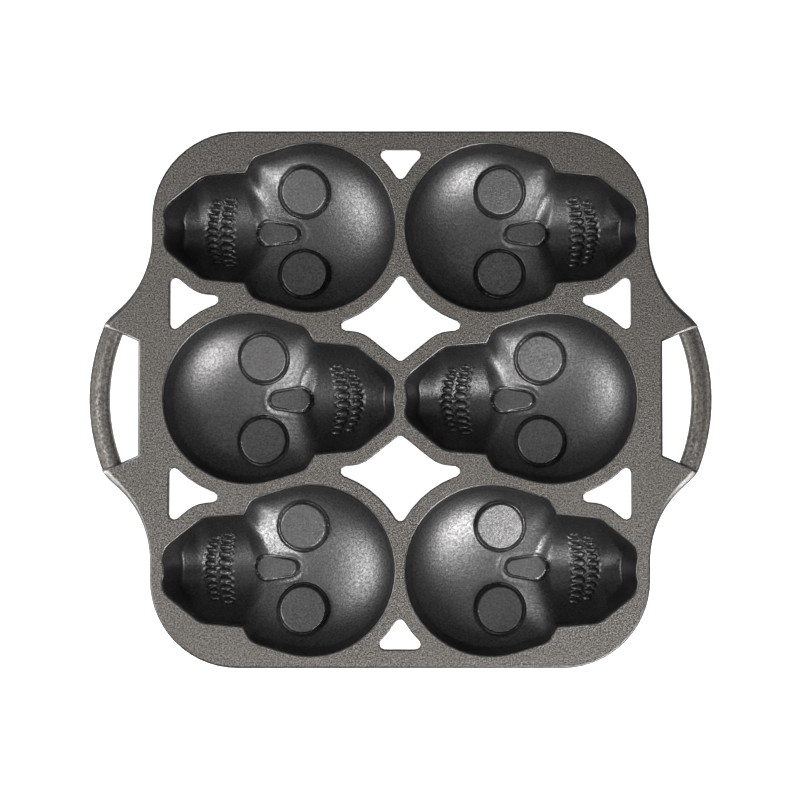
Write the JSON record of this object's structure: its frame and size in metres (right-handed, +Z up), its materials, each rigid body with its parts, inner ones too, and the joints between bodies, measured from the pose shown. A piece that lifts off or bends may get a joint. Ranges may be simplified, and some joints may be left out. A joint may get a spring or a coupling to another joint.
{
  "type": "skull cake pan",
  "caption": "Heavy cast iron baking pan: skull-shaped cups with raised eyes, nose and teeth hang under a flat, windowed deck, and an arched bar handle crosses each end.",
  "frame": {"origin": "centre of the pan on the plane it stands on", "axes": "+X from the left handle to the right handle, +Y to the back row of cups, +Z up"},
  "size_m": [0.3938, 0.3394, 0.041],
  "materials": {
    "deck_iron": "sand-cast and seasoned, warm dark grey, satin with a fine grain",
    "cup_iron": "sand-cast and seasoned, near black, half gloss"
  },
  "bodies": {
    "root": {"deck_plate": "deck_iron", "skull_cup_back_left": "cup_iron", "skull_cup_back_right": "cup_iron", "skull_cup_middle_left": "cup_iron", "skull_cup_middle_right": "cup_iron", "skull_cup_front_left": "cup_iron", "skull_cup_front_right": "cup_iron", "handle_left": "deck_iron", "handle_right": "deck_iron"}
  },
  "joints": []
}
